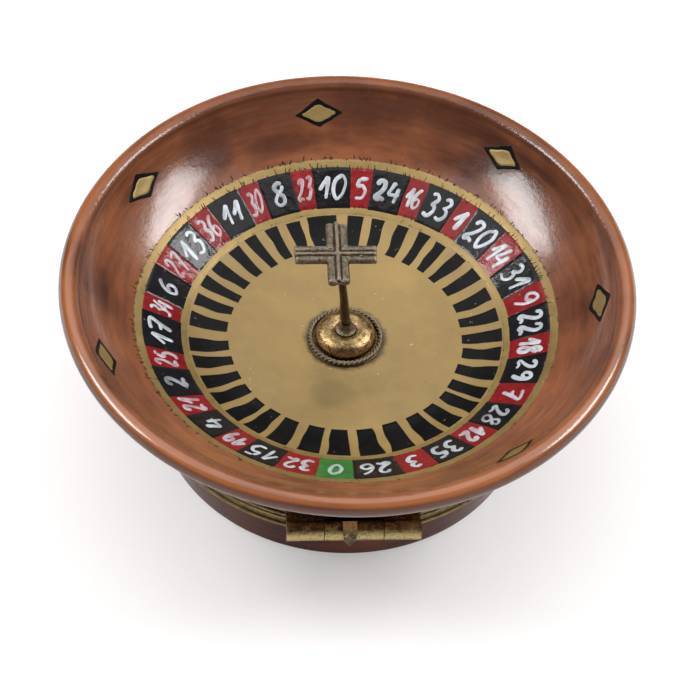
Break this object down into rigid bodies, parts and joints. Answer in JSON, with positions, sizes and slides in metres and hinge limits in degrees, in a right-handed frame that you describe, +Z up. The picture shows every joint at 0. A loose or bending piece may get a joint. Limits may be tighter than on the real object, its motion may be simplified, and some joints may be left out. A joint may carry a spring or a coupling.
{
  "type": "roulette wheel trinket box",
  "caption": "Small hinged porcelain box in the shape of a roulette wheel, with brass rims, a snap clasp and a turning cross handle on a domed turret.",
  "frame": {"origin": "on the wheel's axis, in the plane the foot stands on", "axes": "+Z up along the wheel's axis; -Y towards the hinge; +Y towards the clasp; +X to the right seen from the hinge side"},
  "size_m": [0.07, 0.07, 0.0296],
  "materials": {
    "wood_glaze": "glossy hand-painted wood-grain glaze",
    "base_glaze": "glossy dark brown glaze",
    "rim_brass": "aged, satin",
    "hinge_brass": "aged, worn bright along the top",
    "pin_brass": "plain drawn wire",
    "clasp_brass": "aged, satin",
    "turret_bronze": "dark antique, rubbed",
    "rope_bronze": "antique with bright crests",
    "stem_bronze": "dark bronze",
    "cross_bronze": "antique, dark in the grooves",
    "inner_brass": "plain"
  },
  "bodies": {
    "base": {"base_shell": "base_glaze", "base_rim": "rim_brass", "base_knuckle": "hinge_brass", "hinge_stop": "hinge_brass", "hinge_pin": "pin_brass", "catch_stud": "clasp_brass"},
    "lid": {"lid_bowl": "wood_glaze", "lid_rim": "rim_brass", "lid_knuckle_left": "hinge_brass", "lid_knuckle_right": "hinge_brass", "clasp_tab": "clasp_brass", "clasp_bead": "clasp_brass", "turret_dome": "turret_bronze", "turret_rope_ring": "rope_bronze", "turret_collar": "turret_bronze", "turret_bush": "inner_brass"},
    "handle": {"handle_stem": "stem_bronze", "handle_arm_left": "cross_bronze", "handle_arm_right": "cross_bronze", "handle_arm_back": "cross_bronze", "handle_arm_front": "cross_bronze", "handle_solder": "stem_bronze", "turret_washer": "inner_brass", "retaining_nut": "inner_brass"}
  },
  "joints": [
    {"name": "lid_hinge", "type": "hinge", "parent": "base", "child": "lid", "pos_m": [0, -0.0271, 0.01045], "axis": [1, 0, 0], "range_deg": [0, 90]},
    {"name": "handle_spin", "type": "hinge", "parent": "lid", "child": "handle", "pos_m": [0, 0, 0.017], "axis": [0, 0, 1], "continuous": true}
  ]
}
